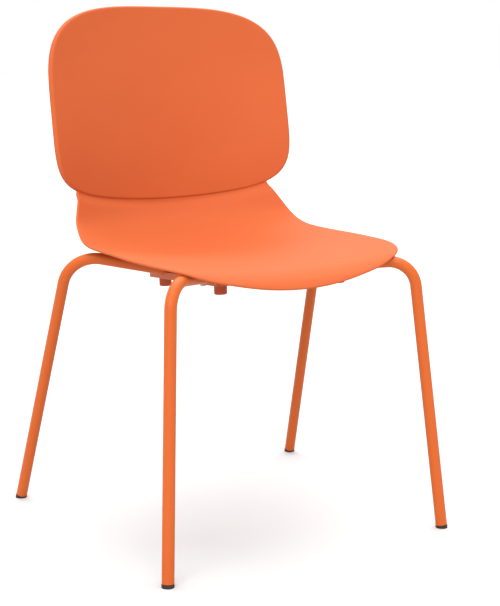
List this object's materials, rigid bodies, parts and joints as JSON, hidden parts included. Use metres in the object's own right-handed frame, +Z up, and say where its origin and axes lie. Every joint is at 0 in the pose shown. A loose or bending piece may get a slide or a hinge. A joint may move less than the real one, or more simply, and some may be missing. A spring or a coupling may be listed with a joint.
{
  "type": "stacking chair",
  "caption": "Armless stacking chair: one-piece moulded seat and back shell on a bent tubular steel frame with splayed legs, stacking buffers and floor glides.",
  "frame": {"origin": "bottom centre of the chair's box: on the floor, on the left-right symmetry plane, midway between the front of the front feet and the rear of the back", "axes": "+Z up, the chair faces -Y, X runs across it and X = 0 is its symmetry plane"},
  "size_m": [0.5556, 0.5046, 0.815],
  "materials": {
    "shell_plastic": "fine moulded grain, satin-matte orange-red",
    "frame_coat": "semi-matt orange powder coat",
    "buffer_plastic": "matt darker orange-red moulding",
    "glide_plastic": "matt near-black moulding",
    "zinc_steel": "zinc plated",
    "brass": "turned brass"
  },
  "bodies": {
    "root": {"seat_shell": "shell_plastic", "front_leg_tube": "frame_coat", "rear_leg_tube": "frame_coat", "left_side_rail": "frame_coat", "right_side_rail": "frame_coat", "front_left_buffer": "buffer_plastic", "rear_left_buffer": "buffer_plastic", "front_right_buffer": "buffer_plastic", "rear_right_buffer": "buffer_plastic", "front_left_glide": "glide_plastic", "rear_left_glide": "glide_plastic", "front_right_glide": "glide_plastic", "rear_right_glide": "glide_plastic", "front_left_screw": "zinc_steel", "rear_left_screw": "zinc_steel", "front_right_screw": "zinc_steel", "rear_right_screw": "zinc_steel", "front_left_washer": "zinc_steel", "rear_left_washer": "zinc_steel", "front_right_washer": "zinc_steel", "rear_right_washer": "zinc_steel", "front_left_insert": "brass", "rear_left_insert": "brass", "front_right_insert": "brass", "rear_right_insert": "brass"}
  },
  "joints": []
}
